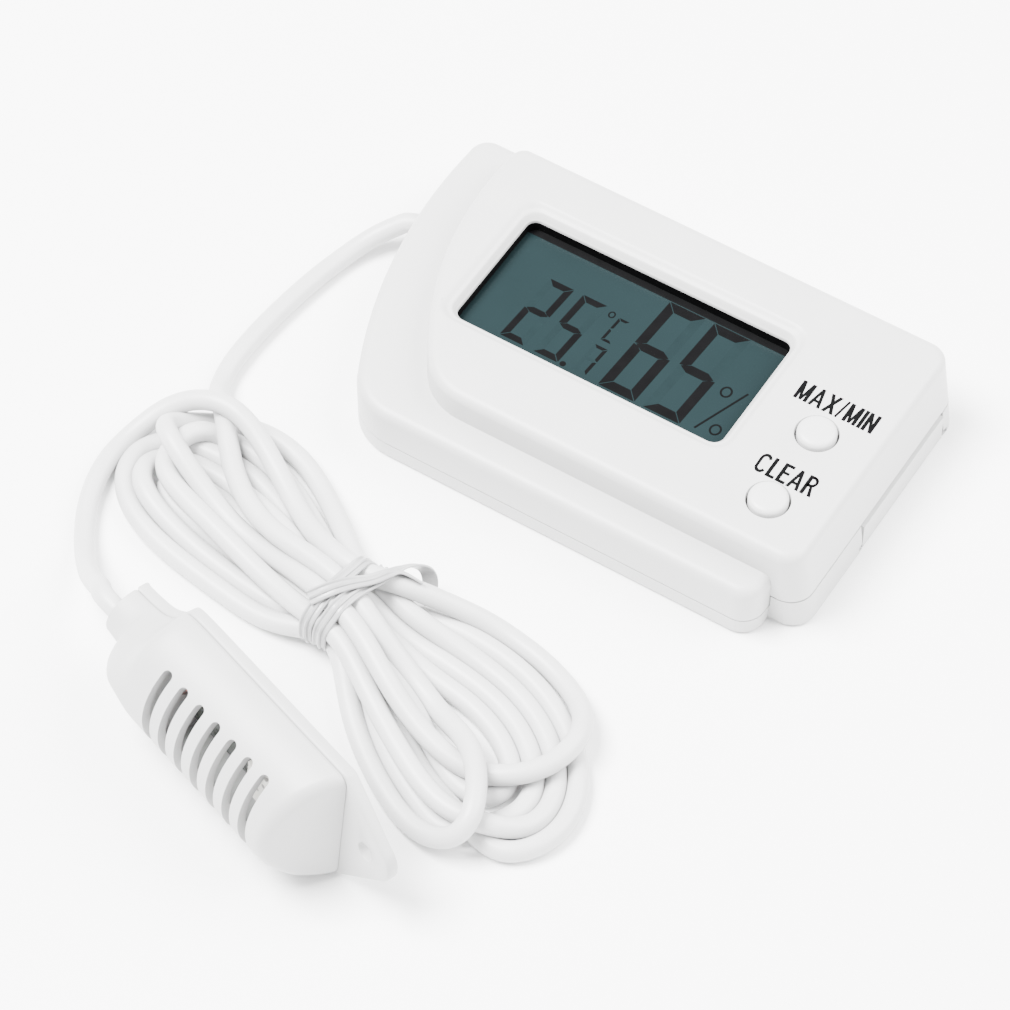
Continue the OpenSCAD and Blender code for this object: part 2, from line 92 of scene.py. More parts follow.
# The cord's route: x, y, and how many turns lie below it. It leaves the case, makes six turns of the
# right lobe and five of the left one through the tie, and goes to the probe. No two turns are alike.
lead = [(-38.5, 9.2, 0), (-41.5, 8.2, 0), (-44.2, 4.8, 0), (-46.4, -0.6, 0), (-48, -8, 0),
        (-49.2, -16, 0), (-49.4, -23, 0), (-48.3, -28.6, 1.5), (-46, -32.5, 5.5), (-43, -36.5, 6),
        (-39.5, -39.5, 6), (-35, -42, 6), (-29.5, -44.5, 6), (-24.5, -46.6, 6), (-19, -48.8, 6)]
right_1 = [(-12.5, -51.2, 6), (-6, -54, 6), (0, -56.6, 6), (6, -59.4, 6), (11, -62.2, 6),
           (15.5, -65.2, 6), (19, -68.2, 5), (21, -71.2, 3.5), (20.4, -73.8, 2), (17.5, -74.2, 1.5),
           (13.5, -72.2, 1.5), (8.5, -69, 1.5), (3, -65.4, 1.5), (-2, -62.2, 1.5), (-7, -59, 1.5)]
left_1 = [(-13, -56.2, 0), (-20, -55, 0), (-26, -54, 0), (-32, -53.2, 0), (-37, -52.6, 0),
          (-41.5, -51.6, 0), (-45.5, -50.2, 0), (-48.6, -48, 0), (-50.2, -45.4, 0), (-50.2, -42.6, 0),
          (-48.8, -40, 0), (-46.6, -38.2, 0), (-43.6, -37.4, 0), (-40.4, -37.4, 0), (-36, -39, 0),
          (-30, -42.2, 0), (-23, -46, 0), (-17, -49, 0)]
right_2 = [(-12.5, -51, 0), (-8, -53.6, 0), (-3, -57.4, 0), (2.5, -61.6, 0), (8, -65, 0), (13, -67.8, 0),
           (18, -70.2, 0), (22, -70.9, 0), (26, -69, 0), (28.6, -66, 0), (29.8, -62.4, 0), (29, -58.8, 0),
           (26.6, -55.4, 0), (23, -52, 0), (18.5, -49.4, 0), (13, -47.6, 0), (7.5, -46.6, 0),
           (1.5, -46.2, 0), (-5, -46.4, 0)]
left_2 = [(-12.5, -46.8, 0), (-18, -46, 0), (-23, -45, 1), (-28, -44.4, 1), (-34.5, -43.2, 1),
          (-40, -41, 1), (-44.6, -39.8, 1), (-48.6, -40.6, 1), (-50.8, -43.8, 1), (-49.6, -47.2, 1),
          (-45.6, -49, 1), (-40.6, -49.2, 1), (-36, -48.6, 1), (-31.5, -50.2, 1), (-26.5, -51.8, 1),
          (-20, -53.4, 2)]
right_3 = [(-12.5, -54.8, 3), (-6, -57, 2), (-1, -59.2, 1), (4.5, -62, 1), (9, -64.4, 1), (13, -66.4, 1),
           (17, -67.6, 1), (20, -67.2, 1), (21.8, -65.2, 1), (22, -62.5, 1), (20.2, -59.4, 1),
           (17, -56.6, 1), (13, -54.4, 1), (8, -53, 1), (3, -52.2, 1), (-2, -51.8, 1), (-7, -51.6, 2)]
left_3 = [(-12.5, -51.4, 3), (-19, -48.8, 2), (-24.5, -46.2, 2), (-29, -44.3, 2), (-33, -42.8, 2),
          (-37, -41.4, 2), (-41, -40.2, 2), (-45, -39.6, 2), (-48.2, -40, 2), (-50, -42, 2),
          (-50, -45, 2), (-48.6, -47.6, 2), (-46, -49.6, 2), (-42.5, -51.2, 2), (-38.5, -52.4, 2),
          (-33.5, -53.4, 2), (-29, -54, 2), (-24, -54.4, 1.5), (-18, -54.6, 1)]
right_4 = [(-12.5, -54.2, 0), (-7, -57.4, 0.5), (-2, -60.8, 1), (4, -64.8, 1), (9.5, -68, 1),
           (14.5, -70.4, 1), (18.6, -71.6, 1), (21.8, -70.8, 1), (24, -68.2, 2), (25, -65, 2),
           (24.2, -61, 2), (22.2, -57.6, 2), (19, -54.6, 2), (14.5, -52, 2), (9, -50.2, 2),
           (3.5, -49.4, 2), (-2, -49.4, 2), (-7, -49.2, 2.5)]
left_4 = [(-12.5, -48.6, 3), (-17, -46, 3), (-22, -43, 3), (-27, -40, 3.5), (-32, -37.2, 4),
          (-36, -35.4, 4), (-39, -34.8, 4), (-42, -35.2, 4), (-44.4, -36.6, 4), (-46.6, -38.6, 4),
          (-48.6, -40.8, 4), (-49.8, -43.2, 4), (-49.4, -45.4, 4), (-47.4, -46.6, 4), (-44, -46.8, 4),
          (-40.5, -47.2, 4), (-37, -48, 4), (-32.5, -49.4, 4), (-28, -51, 4), (-23.5, -52.8, 4.5),
          (-18, -54.6, 5)]
right_5 = [(-12.5, -56, 5.5), (-7, -58.8, 4), (-2, -61.6, 3), (3, -64.8, 2.5), (8.5, -68.2, 2.5),
           (13, -70.8, 2.5), (17.2, -72.6, 2.5), (21.5, -72.6, 2.5), (24.4, -70.6, 2.5), (26.6, -67.2, 3),
           (27.2, -63.5, 3), (26.4, -59, 3), (24, -55.4, 3), (20, -51.8, 3), (15.5, -49, 3),
           (10.5, -47.8, 3), (5, -47.6, 3), (0, -47.8, 3), (-6, -48, 3.5)]
left_5 = [(-12.5, -46, 3.5), (-17.6, -42, 3), (-22.5, -38, 3), (-26.5, -35, 3), (-30.5, -32.8, 3),
          (-34.5, -31.4, 3), (-38.4, -31, 3), (-41.5, -31.6, 4), (-44, -33, 5), (-46, -34.6, 5),
          (-48, -36.6, 5), (-49.8, -38.8, 5), (-50.4, -41, 5), (-49.4, -42.4, 5), (-47.5, -43.4, 5),
          (-45, -43.8, 5), (-41, -44.6, 5), (-36.5, -45.8, 5), (-31.5, -47.2, 5), (-27, -48.8, 5),
          (-20, -51.2, 5.5)]
right_6 = [(-12.5, -53.6, 6), (-6, -56.2, 5), (-0.5, -58.4, 5), (4, -60.4, 5), (9, -62.6, 5),
           (12.5, -63.8, 5), (15.5, -64.2, 5), (18.5, -63.8, 5), (21.5, -62.2, 5), (24, -59, 5),
           (25.2, -55, 5), (24.6, -51.2, 5), (22, -47.8, 5), (17.5, -44.8, 5), (12.5, -43.4, 5),
           (6.5, -43, 5), (0.5, -43.8, 5), (-6, -45.4, 5.5)]
tail = [(-12.5, -47.4, 6.5), (-19, -45, 7), (-24.5, -42.4, 7), (-29.5, -39.6, 7), (-34.5, -36.6, 7),
        (-39, -34.6, 7), (-43, -33.8, 7), (-46, -34.2, 7), (-48.6, -35.8, 7), (-50.8, -38.6, 6.5),
        (-52.4, -42, 5), (-53.4, -45.6, 3), (-53.6, -49.4, 1), (-52.8, -53.6, 0.5), (-51, -57, 0),
        (-48.2, -60.2, 0.3)]
route = (lead + right_1 + left_1 + right_2 + left_2 + right_3 + left_3 + right_4 + left_4 + right_5 + left_5
         + right_6 + tail)
TIE_X, TIE_Y, TIE_Z = -12.0, -51.2, 5.0
TIE_HALF_WIDTH, TIE_HALF_HEIGHT, TIE_REACH = 5.3, 3.5, 4
BEAD_STEP = 1.45
TURN_RISE = 2.4


def catmull(points, n):
    """Smooth line through the points, with n steps from each to the next."""
    p = np.array(points, float)
    out = []
    for i in range(len(p) - 1):
        a, b, c, d = p[max(i - 1, 0)], p[i], p[i + 1], p[min(i + 2, len(p) - 1)]
        for k in range(n):
            t = k / n
            out.append(0.5 * (2 * b + (c - a) * t + (2 * a - 5 * b + 4 * c - d) * t * t
                              + (3 * b - a - 3 * c + d) * t ** 3))
    out.append(p[-1])
    return np.array(out)


def resample(q, step):
    """The line q with its points evenly spaced, about step apart."""
    s = np.r_[0, np.cumsum(np.linalg.norm(np.diff(q, axis=0), axis=1))]
    t = np.linspace(0, s[-1], max(2, int(round(s[-1] / step)) + 1))
    return np.stack([np.interp(t, s, q[:, k]) for k in range(3)], axis=1)


def stiffen(p, m, k):
    """A cord resists bending: the fourth difference over m beads is taken out of its line."""
    q = p.copy()
    q[2 * m:-2 * m] -= k * (p[:-4 * m] - 4 * p[m:-3 * m] + 6 * p[2 * m:-2 * m] - 4 * p[3 * m:-m] + p[4 * m:])
    return q


def push_apart(p, first, second):
    """Moves the beads of the given pairs away from each other where the cord would run through itself."""
    v = p[first] - p[second]
    gap = np.sqrt((v ** 2).sum(1))
    hit = gap < CORD_D
    if not hit.any():
        return p
    i, j = first[hit], second[hit]
    size = np.maximum(gap[hit], 1e-4)[:, None]
    push = 0.4 * (CORD_D - size) * v[hit] / size
    move, count = np.zeros_like(p), np.zeros(len(p))
    np.add.at(move, i, push)
    np.add.at(move, j, -push)
    np.add.at(count, i, 1)
    np.add.at(count, j, 1)
    return p + move / np.maximum(1, count ** 0.5)[:, None]


def squeeze(p):
    """Draws the strands together at the tie, and keeps them above the floor and the tie's strip."""
    w = np.clip(1 - np.abs(p[:, 0] - TIE_X) / TIE_REACH, 0, 1)
    far = np.sqrt(((p[:, 1] - TIE_Y) / TIE_HALF_WIDTH) ** 2 + ((p[:, 2] - TIE_Z) / TIE_HALF_HEIGHT) ** 2)
    f = np.where(far > 1, 1 - 0.35 * w * (1 - 1 / np.maximum(far, 1)), 1)
    p[:, 1] = TIE_Y + (p[:, 1] - TIE_Y) * f
    p[:, 2] = TIE_Z + (p[:, 2] - TIE_Z) * f
    p[:, 2] = np.maximum(p[:, 2], np.where(np.abs(p[:, 0] - TIE_X) < 2.2, CORD_R + 0.7, CORD_R))


def round_bends(p, held):
    """Evens the line without shrinking it, then opens the bends that are still sharp."""
    for _ in range(40):
        for share in (0.5, -0.52):
            q = p.copy()
            q[1:-1] += share * (0.5 * (p[:-2] + p[2:]) - p[1:-1])
            p = np.where(held[:, None], p, q)
    for _ in range(40):
        a, b = p[1:-1] - p[:-2], p[2:] - p[1:-1]
        turned = a / np.linalg.norm(a, axis=1)[:, None] - b / np.linalg.norm(b, axis=1)[:, None]
        bend = np.linalg.norm(turned, axis=1)
        bend *= 2 / np.linalg.norm(a + b, axis=1)
        sharp = np.convolve(np.clip(bend * 3.6 - 1, 0, 1), np.ones(9) / 5, "same")
        q = p.copy()
        q[1:-1] += 0.5 * np.clip(sharp, 0, 1)[:, None] * (0.5 * (p[:-2] + p[2:]) - p[1:-1])
        p = np.where(held[:, None], p, q)
    return p


def settle(points, end, steps=360, final=100):
    """Lays the cord down: its turns start one above the other, sink, and come to lie on each other."""
    q = np.array(points, float)
    z = CORD_R + TURN_RISE * q[:, 2]
    z[0:4] = [EXIT[2], 4.4, 3.2, 1.6]
    q = np.vstack([np.c_[q[:, :2], z], end])
    p = resample(catmull(q, 12), BEAD_STEP)
    n = len(p)
    home = p.copy()
    held = np.zeros(n, bool)
    held[:3] = True
    held[-15:] = True
    index = np.arange(n)
    for it in range(steps + final):
        last = it >= steps
        p[:, 2] -= 0.05 if last else 0.2 * (1 - 0.6 * it / steps)
        p[:, :2] += (0.02 if last else 0.07) * (home[:, :2] - p[:, :2])
        for _ in range(2):
            p[:, 2] = stiffen(p, 4, 0.016 if last else 0.022)[:, 2]
            p[:, :2] = stiffen(p, 4, 0.009)[:, :2]
            p = stiffen(stiffen(p, 2, 0.05), 1, 0.055)
        if it % 6 == 0:
            dist = np.linalg.norm(p[:, None, :] - p[None, :, :], axis=2)
            near = (dist < CORD_D + 2.2) & (np.abs(index[:, None] - index[None, :]) > 6)
            first, second = np.nonzero(np.triu(near))
        for _ in range(4 if last else 2):
            p = push_apart(p, first, second)
            squeeze(p)
        p[held] = home[held]
    p = round_bends(p, held)
    p[:, 2] = np.maximum(p[:, 2], CORD_R)
    return p


CORD_RISE = 2.3
neck_end = [(-46.4, -62.4, 2.9), (-43.3, -65.2, 5.8), (-40, -67.9, 8.9)]
neck_end += [probe_point(u, 0, CORD_RISE) for u in (-16, -12, -6, 0, 2.2)]
line = settle(route, neck_end)
smooth_line = catmull(line, 2)


def round_curve(name, points, radius):
    """Round cord along the points, with both ends closed."""
    curve = bpy.data.curves.new(name, "CURVE")
    curve.dimensions = "3D"
    curve.bevel_depth = radius * MM
    curve.bevel_resolution = 6
    curve.use_fill_caps = True
    spline = curve.splines.new("POLY")
    spline.points.add(len(points) - 1)
    for point, co in zip(spline.points, points):
        point.co = (co[0] * MM, co[1] * MM, co[2] * MM, 1)
    spline.use_smooth = True
    ob = bpy.data.objects.new(name, curve)
    bpy.context.scene.collection.objects.link(ob)
    return ob


cord = round_curve("cord", smooth_line, CORD_R)


# ------------------------------------------------------------------ materials
def material(name, color, rough, mottle=0.02, scale=300.0, bump=0.02, bump_scale=1500.0, bump_mm=0.03,
             metallic=0.0, coat=0.0, speck=0.0, **extra):
    """Moulded or worked surface: colour mottle, uneven gloss and fine relief from noise in object space.

    rough is the roughness, mottle the colour's spread, scale and bump_scale the two noises' scales, bump
    and bump_mm the relief's strength and depth, and speck how large the dark dots are.
    """
    m = bpy.data.materials.new(name)
    m.use_nodes = True
    t = m.node_tree
    b = t.nodes["Principled BSDF"]
    b.inputs["Metallic"].default_value = metallic
    b.inputs["Coat Weight"].default_value = coat
    b.inputs["Coat Roughness"].default_value = 0.15
    for key, value in extra.items():
        b.inputs[key.replace("_", " ")].default_value = value
    co = t.nodes.new("ShaderNodeTexCoord")
    broad = t.nodes.new("ShaderNodeTexNoise")
    broad.inputs["Scale"].default_value = scale
    broad.inputs["Detail"].default_value = 4
    t.links.new(co.outputs["Object"], broad.inputs["Vector"])
    ramp = t.nodes.new("ShaderNodeValToRGB")
    ramp.color_ramp.elements[0].position = 0.3
    ramp.color_ramp.elements[1].position = 0.7
    ramp.color_ramp.elements[0].color = (*[c * (1 - mottle) for c in color], 1)
    ramp.color_ramp.elements[1].color = (*[min(1, c * (1 + mottle)) for c in color], 1)
    t.links.new(broad.outputs["Fac"], ramp.inputs["Fac"])
    out = ramp.outputs["Color"]
    if speck:
        dots = t.nodes.new("ShaderNodeTexVoronoi")
        dots.inputs["Scale"].default_value = 900
        t.links.new(co.outputs["Object"], dots.inputs["Vector"])
        cut = t.nodes.new("ShaderNodeMath")
        cut.operation = "LESS_THAN"
        cut.inputs[1].default_value = speck
        t.links.new(dots.outputs["Distance"], cut.inputs[0])
        mix = t.nodes.new("ShaderNodeMix")
        mix.data_type = "RGBA"
        mix.inputs["B"].default_value = (*[c * 0.35 for c in color], 1)
        t.links.new(cut.outputs[0], mix.inputs["Factor"])
        t.links.new(out, mix.inputs["A"])
        out = mix.outputs["Result"]
    t.links.new(out, b.inputs["Base Color"])
    gloss = t.nodes.new("ShaderNodeMapRange")
    gloss.inputs["To Min"].default_value = rough * 0.85
    gloss.inputs["To Max"].default_value = rough * 1.15
    t.links.new(broad.outputs["Fac"], gloss.inputs["Value"])
    t.links.new(gloss.outputs["Result"], b.inputs["Roughness"])
    fine = t.nodes.new("ShaderNodeTexNoise")
    fine.inputs["Scale"].default_value = bump_scale
    fine.inputs["Detail"].default_value = 3
    t.links.new(co.outputs["Object"], fine.inputs["Vector"])
    relief = t.nodes.new("ShaderNodeBump")
    relief.inputs["Strength"].default_value = bump
    relief.inputs["Distance"].default_value = bump_mm * MM
    t.links.new(fine.outputs["Fac"], relief.inputs["Height"])
    t.links.new(relief.outputs["Normal"], b.inputs["Normal"])
    return m


white = material("case_plastic", (0.47, 0.47, 0.468), 0.42, 0.012, 90, 0.25, 2600, 0.02)
rear_white = material("rear_plastic", (0.46, 0.46, 0.458), 0.45, 0.012, 90, 0.3, 2600, 0.02)
button_white = material("button_plastic", (0.54, 0.54, 0.538), 0.38, 0.01, 200, 0.2, 2600, 0.015)
probe_white = material("probe_plastic", (0.41, 0.41, 0.408), 0.44, 0.015, 160, 0.3, 2200, 0.025)
cord_white = material("cord_pvc", (0.50, 0.50, 0.50), 0.4, 0.02, 250, 0.35, 1800, 0.04)
tie_pvc = material("tie_pvc", (0.32, 0.32, 0.322), 0.3, 0.06, 700, 0.5, 1500, 0.06, coat=0.2)
# Near-black paint that stands in for the shade inside the display's recess: painted shade on the window's
# inner wall and along the display's top edge.
recess_painted_shade = material("display_recess_painted_shade", (0.0012, 0.0012, 0.0014), 0.6, 0.2, 600, 0.4, 2600, 0.03,
                  Specular_IOR_Level=0.06)
lcd = material("display_film", (0.0056, 0.0113, 0.0124), 0.22, 0.06, 60, 0.1, 3000, 0.005,
               Specular_IOR_Level=0.1)
segment = material("display_segments", (0.0022, 0.0022, 0.0024), 0.3, 0.1, 500, 0.1, 3000, 0.005,
                   Specular_IOR_Level=0.05)
ghost = material("display_ghost", (0.0052, 0.0106, 0.0116), 0.22, 0.05, 500, 0.1, 3000, 0.005,
                 Specular_IOR_Level=0.1)
ink = material("print_ink", (0.0012, 0.0012, 0.0014), 0.5, 0.2, 900, 0.4, 2500, 0.02,
               Specular_IOR_Level=0.05)
reflector = material("reflector_film", (0.6, 0.63, 0.6), 0.35, 0.04, 500, 0.2, 3000, 0.01)
elastomer = material("elastomer", (0.62, 0.26, 0.3), 0.7, 0.1, 700, 0.4, 2000, 0.04)
dark_board = material("probe_board", (0.09, 0.095, 0.09), 0.4, 0.5, 900, 0.5, 900, 0.05, coat=0.2,
                      speck=0.3)
board = material("board_mask", (0.02, 0.16, 0.06), 0.35, 0.15, 250, 0.3, 1200, 0.04, coat=0.3)
resin = material("black_resin", (0.012, 0.012, 0.014), 0.4, 0.2, 400, 0.5, 900, 0.08)
spring = material("spring_steel", (0.66, 0.64, 0.56), 0.28, 0.05, 500, 0.3, 2000, 0.01, metallic=1)
zinc = material("zinc_steel", (0.62, 0.62, 0.64), 0.35, 0.08, 600, 0.5, 1800, 0.02, metallic=1)
nickel = material("nickel", (0.7, 0.71, 0.72), 0.24, 0.05, 300, 0.3, 1500, 0.01, metallic=1)
tinned = material("tinned_brass", (0.72, 0.62, 0.36), 0.32, 0.1, 500, 0.3, 1500, 0.02, metallic=1)
cores = material("core_insulation", (0.45, 0.05, 0.04), 0.45, 0.08, 600, 0.3, 1500, 0.03)
sensor = material("sensor_grid", (0.74, 0.73, 0.68), 0.55, 0.06, 600, 0.6, 900, 0.1, speck=0.32)


# ------------------------------------------------------------------ mesh helpers
def new_object(name, verts, faces, mats, body="case", smooth=32, face_mats=None, merge=0.0):
    """Mesh piece that rides on body; edges sharper than smooth degrees stay sharp."""
    me = bpy.data.meshes.new(name)
    me.from_pydata([tuple(c * MM for c in v) for v in verts], [], faces)
    for m in mats:
        me.materials.append(m)
    if face_mats:
        for poly, k in zip(me.polygons, face_mats):
            poly.material_index = k
    bm = bmesh.new()
    bm.from_mesh(me)
    if merge:
        bmesh.ops.remove_doubles(bm, verts=bm.verts, dist=merge * MM)
        bmesh.ops.dissolve_degenerate(bm, edges=bm.edges, dist=1e-7)
    bmesh.ops.recalc_face_normals(bm, faces=bm.faces)
    bm.to_mesh(me)
    bm.free()
    finish_mesh(me, smooth)
    ob = bpy.data.objects.new(name, me)
    bpy.context.scene.collection.objects.link(ob)
    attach(ob, body)
    return ob


def finish_mesh(me, smooth):
    """Smooth shading, with edges sharper than smooth degrees kept sharp."""
    for poly in me.polygons:
        poly.use_smooth = True
    me.set_sharp_from_angle(angle=math.radians(smooth))
    me.update()


class Shell:
    """Collects rings of points and the faces between them."""

    def __init__(self):
        self.verts, self.faces, self.mats = [], [], []

    def ring(self, pts):
        """Adds the points and returns their indices."""
        start = len(self.verts)
        self.verts += [tuple(p) for p in pts]
        return list(range(start, start + len(pts)))

    def band(self, a, b, mat=0):
        """Faces all round between two rings."""
        n = len(a)
        for i in range(n):
            j = (i + 1) % n
            self.faces.append((a[i], a[j], b[j], b[i]))
            self.mats.append(mat)

    def loft(self, rings):
        """Rings of points with bands between them; returns the rings' indices."""
        ids = [self.ring(r) for r in rings]
        for a, b in zip(ids, ids[1:]):
            self.band(a, b)
        return ids

    def capped(self, rings):
        """Loft with a face at either end."""
        ids = self.loft(rings)
        self.face(ids[0])
        self.face(ids[-1])

    def face(self, ids):
        """One face with the given corners."""
        self.faces.append(tuple(ids))
        self.mats.append(0)

    def fill(self, loops):
        """Flat face bounded by the first loop, with the others as holes."""
        bm = bmesh.new()
        back_to = {}
        edges = []
        for loop in loops:
            vs = [bm.verts.new(self.verts[i]) for i in loop]
            for v, i in zip(vs, loop):
                back_to[v] = i
            edges += [bm.edges.new((vs[k], vs[(k + 1) % len(vs)])) for k in range(len(vs))]
        result = bmesh.ops.triangle_fill(bm, use_beauty=True, use_dissolve=False, edges=edges)
        for f in result["geom"]:
            if isinstance(f, bmesh.types.BMFace):
                self.face(back_to[v] for v in f.verts)
        bm.free()


def arc(c, r, a0, a1, n):
    """Points of the arc about c from a0 to a1 degrees."""
    return [(c[0] + r * math.cos(math.radians(a0 + (a1 - a0) * i / n)),
             c[1] + r * math.sin(math.radians(a0 + (a1 - a0) * i / n))) for i in range(n + 1)]


CASE_RIGHT, CORNER_R = 40, 3.5


def main_outline(d, rx):
    """Outline of the main body d inside its wall, with the right wall rx inside the seam's right end."""
    x, r = CASE_RIGHT - rx, CORNER_R
    return (arc((x - r, -20.5 + r), r - d, -90, 0, 14) + arc((x - r, 22.9 - r), r - d, 0, 90, 14)
            + arc((-29.2, 20.4), 2.5 - d, 90, 174, 12) + arc((22, 15), 54 - d, 174, 215.8, 44)
            + arc((-14.1, -11), 9.5 - d, 215.8, 270, 22))


def wing_outline(d):
    """Outline of the low wing round the left and front sides, d inside its wall."""
    return (arc((31.5, -21.7), 3.3 - d, -90, 0, 14) + [(34.8 - d, -12)]
            + arc((-33.5, 21.8), 3 - d, 62.6, 90, 5) + arc((-36.1, 21.8), 3 - d, 90, 175.7, 12)
            + arc((40.7, 16), 80 - d, 175.7, 207, 44)
            + arc((-23, -16.5), 8.5 - d, 207, 270, 24))


def at_z(pts, z):
    """The flat points at height z."""
    return [(x, y, z) for x, y in pts]


def window(w, h, r, n=8):
    """Outline with round corners about the middle of the display's window."""
    cx, cy = WINDOW_MIDDLE
    out = []
    for sx, sy, a in ((1, -1, -90), (1, 1, 0), (-1, 1, 90), (-1, -1, 180)):
        out += arc((cx + sx * (w / 2 - r), cy + sy * (h / 2 - r)), r, a, a + 90, n)
    return out


def circle(cx, cy, r, n=64):
    """Points of a circle, without the first one again."""
    return [(cx + r * math.cos(2 * math.pi * i / n), cy + r * math.sin(2 * math.pi * i / n)) for i in range(n)]


def paint(ob, mat):
    """Gives the object one material."""
    ob.data.materials.clear()
    ob.data.materials.append(mat)


TOP = 14.1
SEAM_MAIN, SEAM_WING = 5.15, 3.0
TOP_ROUND = 1.5
WING_TOP, WING_ROUND = 9.3, 1.6
WINDOW_MIDDLE = (-2.15, 2.75)
BEZEL_W, BEZEL_H, BEZEL_R = 46.3, 24.7, 2.8
LIP_W, LIP_H, LIP_R = 42.1, 20.5, 1.5
LCD_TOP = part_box("lcd_glass")[1].z / MM
BUTTON_X = 29.6
BUTTON_Y = {"max_min_button": 0.2, "clear_button": -12.7}

# ------------------------------------------------------------------ front shell
# The wall leans in from the seam to the top, whose edge is rounded.
WALL_Z = 5.36
s = Shell()
rings = [at_z(main_outline(1.6, 2.0), SEAM_MAIN), at_z(main_outline(0.3, 0.68), SEAM_MAIN),
         at_z(main_outline(0.16, 0.54), 5.22), at_z(main_outline(0.12, 0.5), WALL_Z)]
for k in range(1, 5):
    rings.append(at_z(main_outline(0.12 + 0.21 * k / 4, 0.5 + 0.85 * k / 4),
                      WALL_Z + (TOP - TOP_ROUND - WALL_Z) * k / 4))
for k in range(1, 11):
    a = math.radians(9 * k)
    rings.append(at_z(main_outline(0.33 + TOP_ROUND * (1 - math.cos(a)), 1.35),
                      TOP - TOP_ROUND + TOP_ROUND * math.sin(a)))
outer = s.loft(rings)
# The bezel round the display: how far in, how much rounder, and how high.
bezel = [(0, 0, TOP), (0.12, 0.02, TOP - 0.02), (0.3, 0.06, TOP - 0.1), (0.55, 0.15, TOP - 0.28),
         (0.85, 0.3, TOP - 0.52), (1.0, 0.36, TOP - 0.6), (1.22, 0.44, TOP - 0.64), (1.34, 0.5, TOP - 0.7),
         (1.5, 0.6, TOP - 0.88), (1.85, 0.9, TOP - 1.4), (1.95, 1.0, TOP - 1.55), (2.03, 1.1, TOP - 1.62),
         (2.1, 1.2, TOP - 1.78)]
wall_ids = [s.ring(at_z(window(BEZEL_W - 2 * i, BEZEL_H - 2 * i, BEZEL_R - dr), z)) for i, dr, z in bezel]
for a, b in zip(wall_ids, wall_ids[1:]):
    s.band(a, b)
lip = s.ring(at_z(window(LIP_W, LIP_H, LIP_R), TOP - 2.15))
s.band(wall_ids[-1], lip)
# The window's inner wall from the lip down to the display takes the second material, near-black painted shade
# for the recess.
low = s.ring(at_z(window(LIP_W, LIP_H, LIP_R), LCD_TOP + 0.03))
s.band(lip, low, 1)
WELL = ((3.2, TOP), (3.1, TOP - 0.04), (3.05, TOP - 0.14), (3.05, TOP - 2))
holes = []
for button_y in BUTTON_Y.values():
    loops = [s.ring(at_z(circle(BUTTON_X, button_y, r), z)) for r, z in WELL]
    for a, b in zip(loops, loops[1:]):
        s.band(a, b)
    holes.append(loops[0])
s.fill([outer[-1], wall_ids[0]] + holes)
WING_WALL_Z = 3.18
rings = [at_z(wing_outline(1.6), SEAM_WING), at_z(wing_outline(0.14), SEAM_WING),
         at_z(wing_outline(0.03), 3.06), at_z(wing_outline(0), WING_WALL_Z)]
for k in range(1, 4):
    rings.append(at_z(wing_outline(0), WING_WALL_Z + (WING_TOP - WING_ROUND - WING_WALL_Z) * k / 3))
for k in range(1, 13):
    a = math.radians(7.5 * k)
    rings.append(at_z(wing_outline(WING_ROUND * (1 - math.cos(a))),
                      WING_TOP - WING_ROUND + WING_ROUND * math.sin(a)))
wing = s.loft(rings)
s.face(wing[-1])
front = new_object("front_case", s.verts, s.faces, [white, recess_painted_shade], face_mats=s.mats, smooth=30)
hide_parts("front_shell")

# ------------------------------------------------------------------ buttons
# Radius and height from the stem up over the flange to the domed cap.
BUTTON = [(0, 9.3), (1.5, 9.3), (1.5, 11), (3.8, 11), (3.8, 11.8), (2.75, 11.8), (2.75, 14.2), (2.73, 14.38),
          (2.66, 14.56), (2.53, 14.72), (2.34, 14.85), (2.1, 14.93), (1.8, 14.98), (1.3, 15.02), (0.7, 15.04),
          (0, 15.05)]


def lathe(name, profile, cx, cy, mat, body, n=72, smooth=40):
    """Turned piece about an upright axis; the profile is radius and height."""
    t = Shell()
    t.capped([at_z(circle(cx, cy, max(r, 0.001), n), z) for r, z in profile])
    return new_object(name, t.verts, t.faces, [mat], body=body, smooth=smooth, merge=0.01)


for name, button_y in BUTTON_Y.items():
    cap = lathe(name + "_cap", BUTTON, BUTTON_X, button_y, button_white, name)
    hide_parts(name)


# ------------------------------------------------------------------ flat print and display segments
def flat_shapes(name, polygons, z, mat, thickness):
    """Thin raised shapes; polygons are convex outlines in mm."""
    t = Shell()
    for k, poly in enumerate(polygons):
        zt = z + thickness + 0.0006 * (k % 7)
        low_ids = t.ring([(x, y, z) for x, y in poly])
        top_ids = t.ring([(x, y, zt) for x, y in poly])
        t.band(low_ids, top_ids)
        t.face(top_ids)
    ob = new_object(name, t.verts, t.faces, [mat], smooth=20)
    return ob


def bar(a, b, w):
    """Stroke from a to b of width w with square ends."""
    ax, ay, bx, by = *a, *b
    length = math.hypot(bx - ax, by - ay)
    nx, ny = -(by - ay) / length * w / 2, (bx - ax) / length * w / 2
    return [(ax + nx, ay + ny), (ax - nx, ay - ny), (bx - nx, by - ny), (bx + nx, by + ny)]


def bend_stroke(points, w):
    """Stroke through the points, with a round joint at each bend."""
    bars = [bar(a, b, w) for a, b in zip(points, points[1:])]
    turns = [math.pi * k / 6 for k in range(12)]
    return bars + [[(p[0] + w / 2 * math.cos(t), p[1] + w / 2 * math.sin(t)) for t in turns]
                   for p in points[1:-1]]


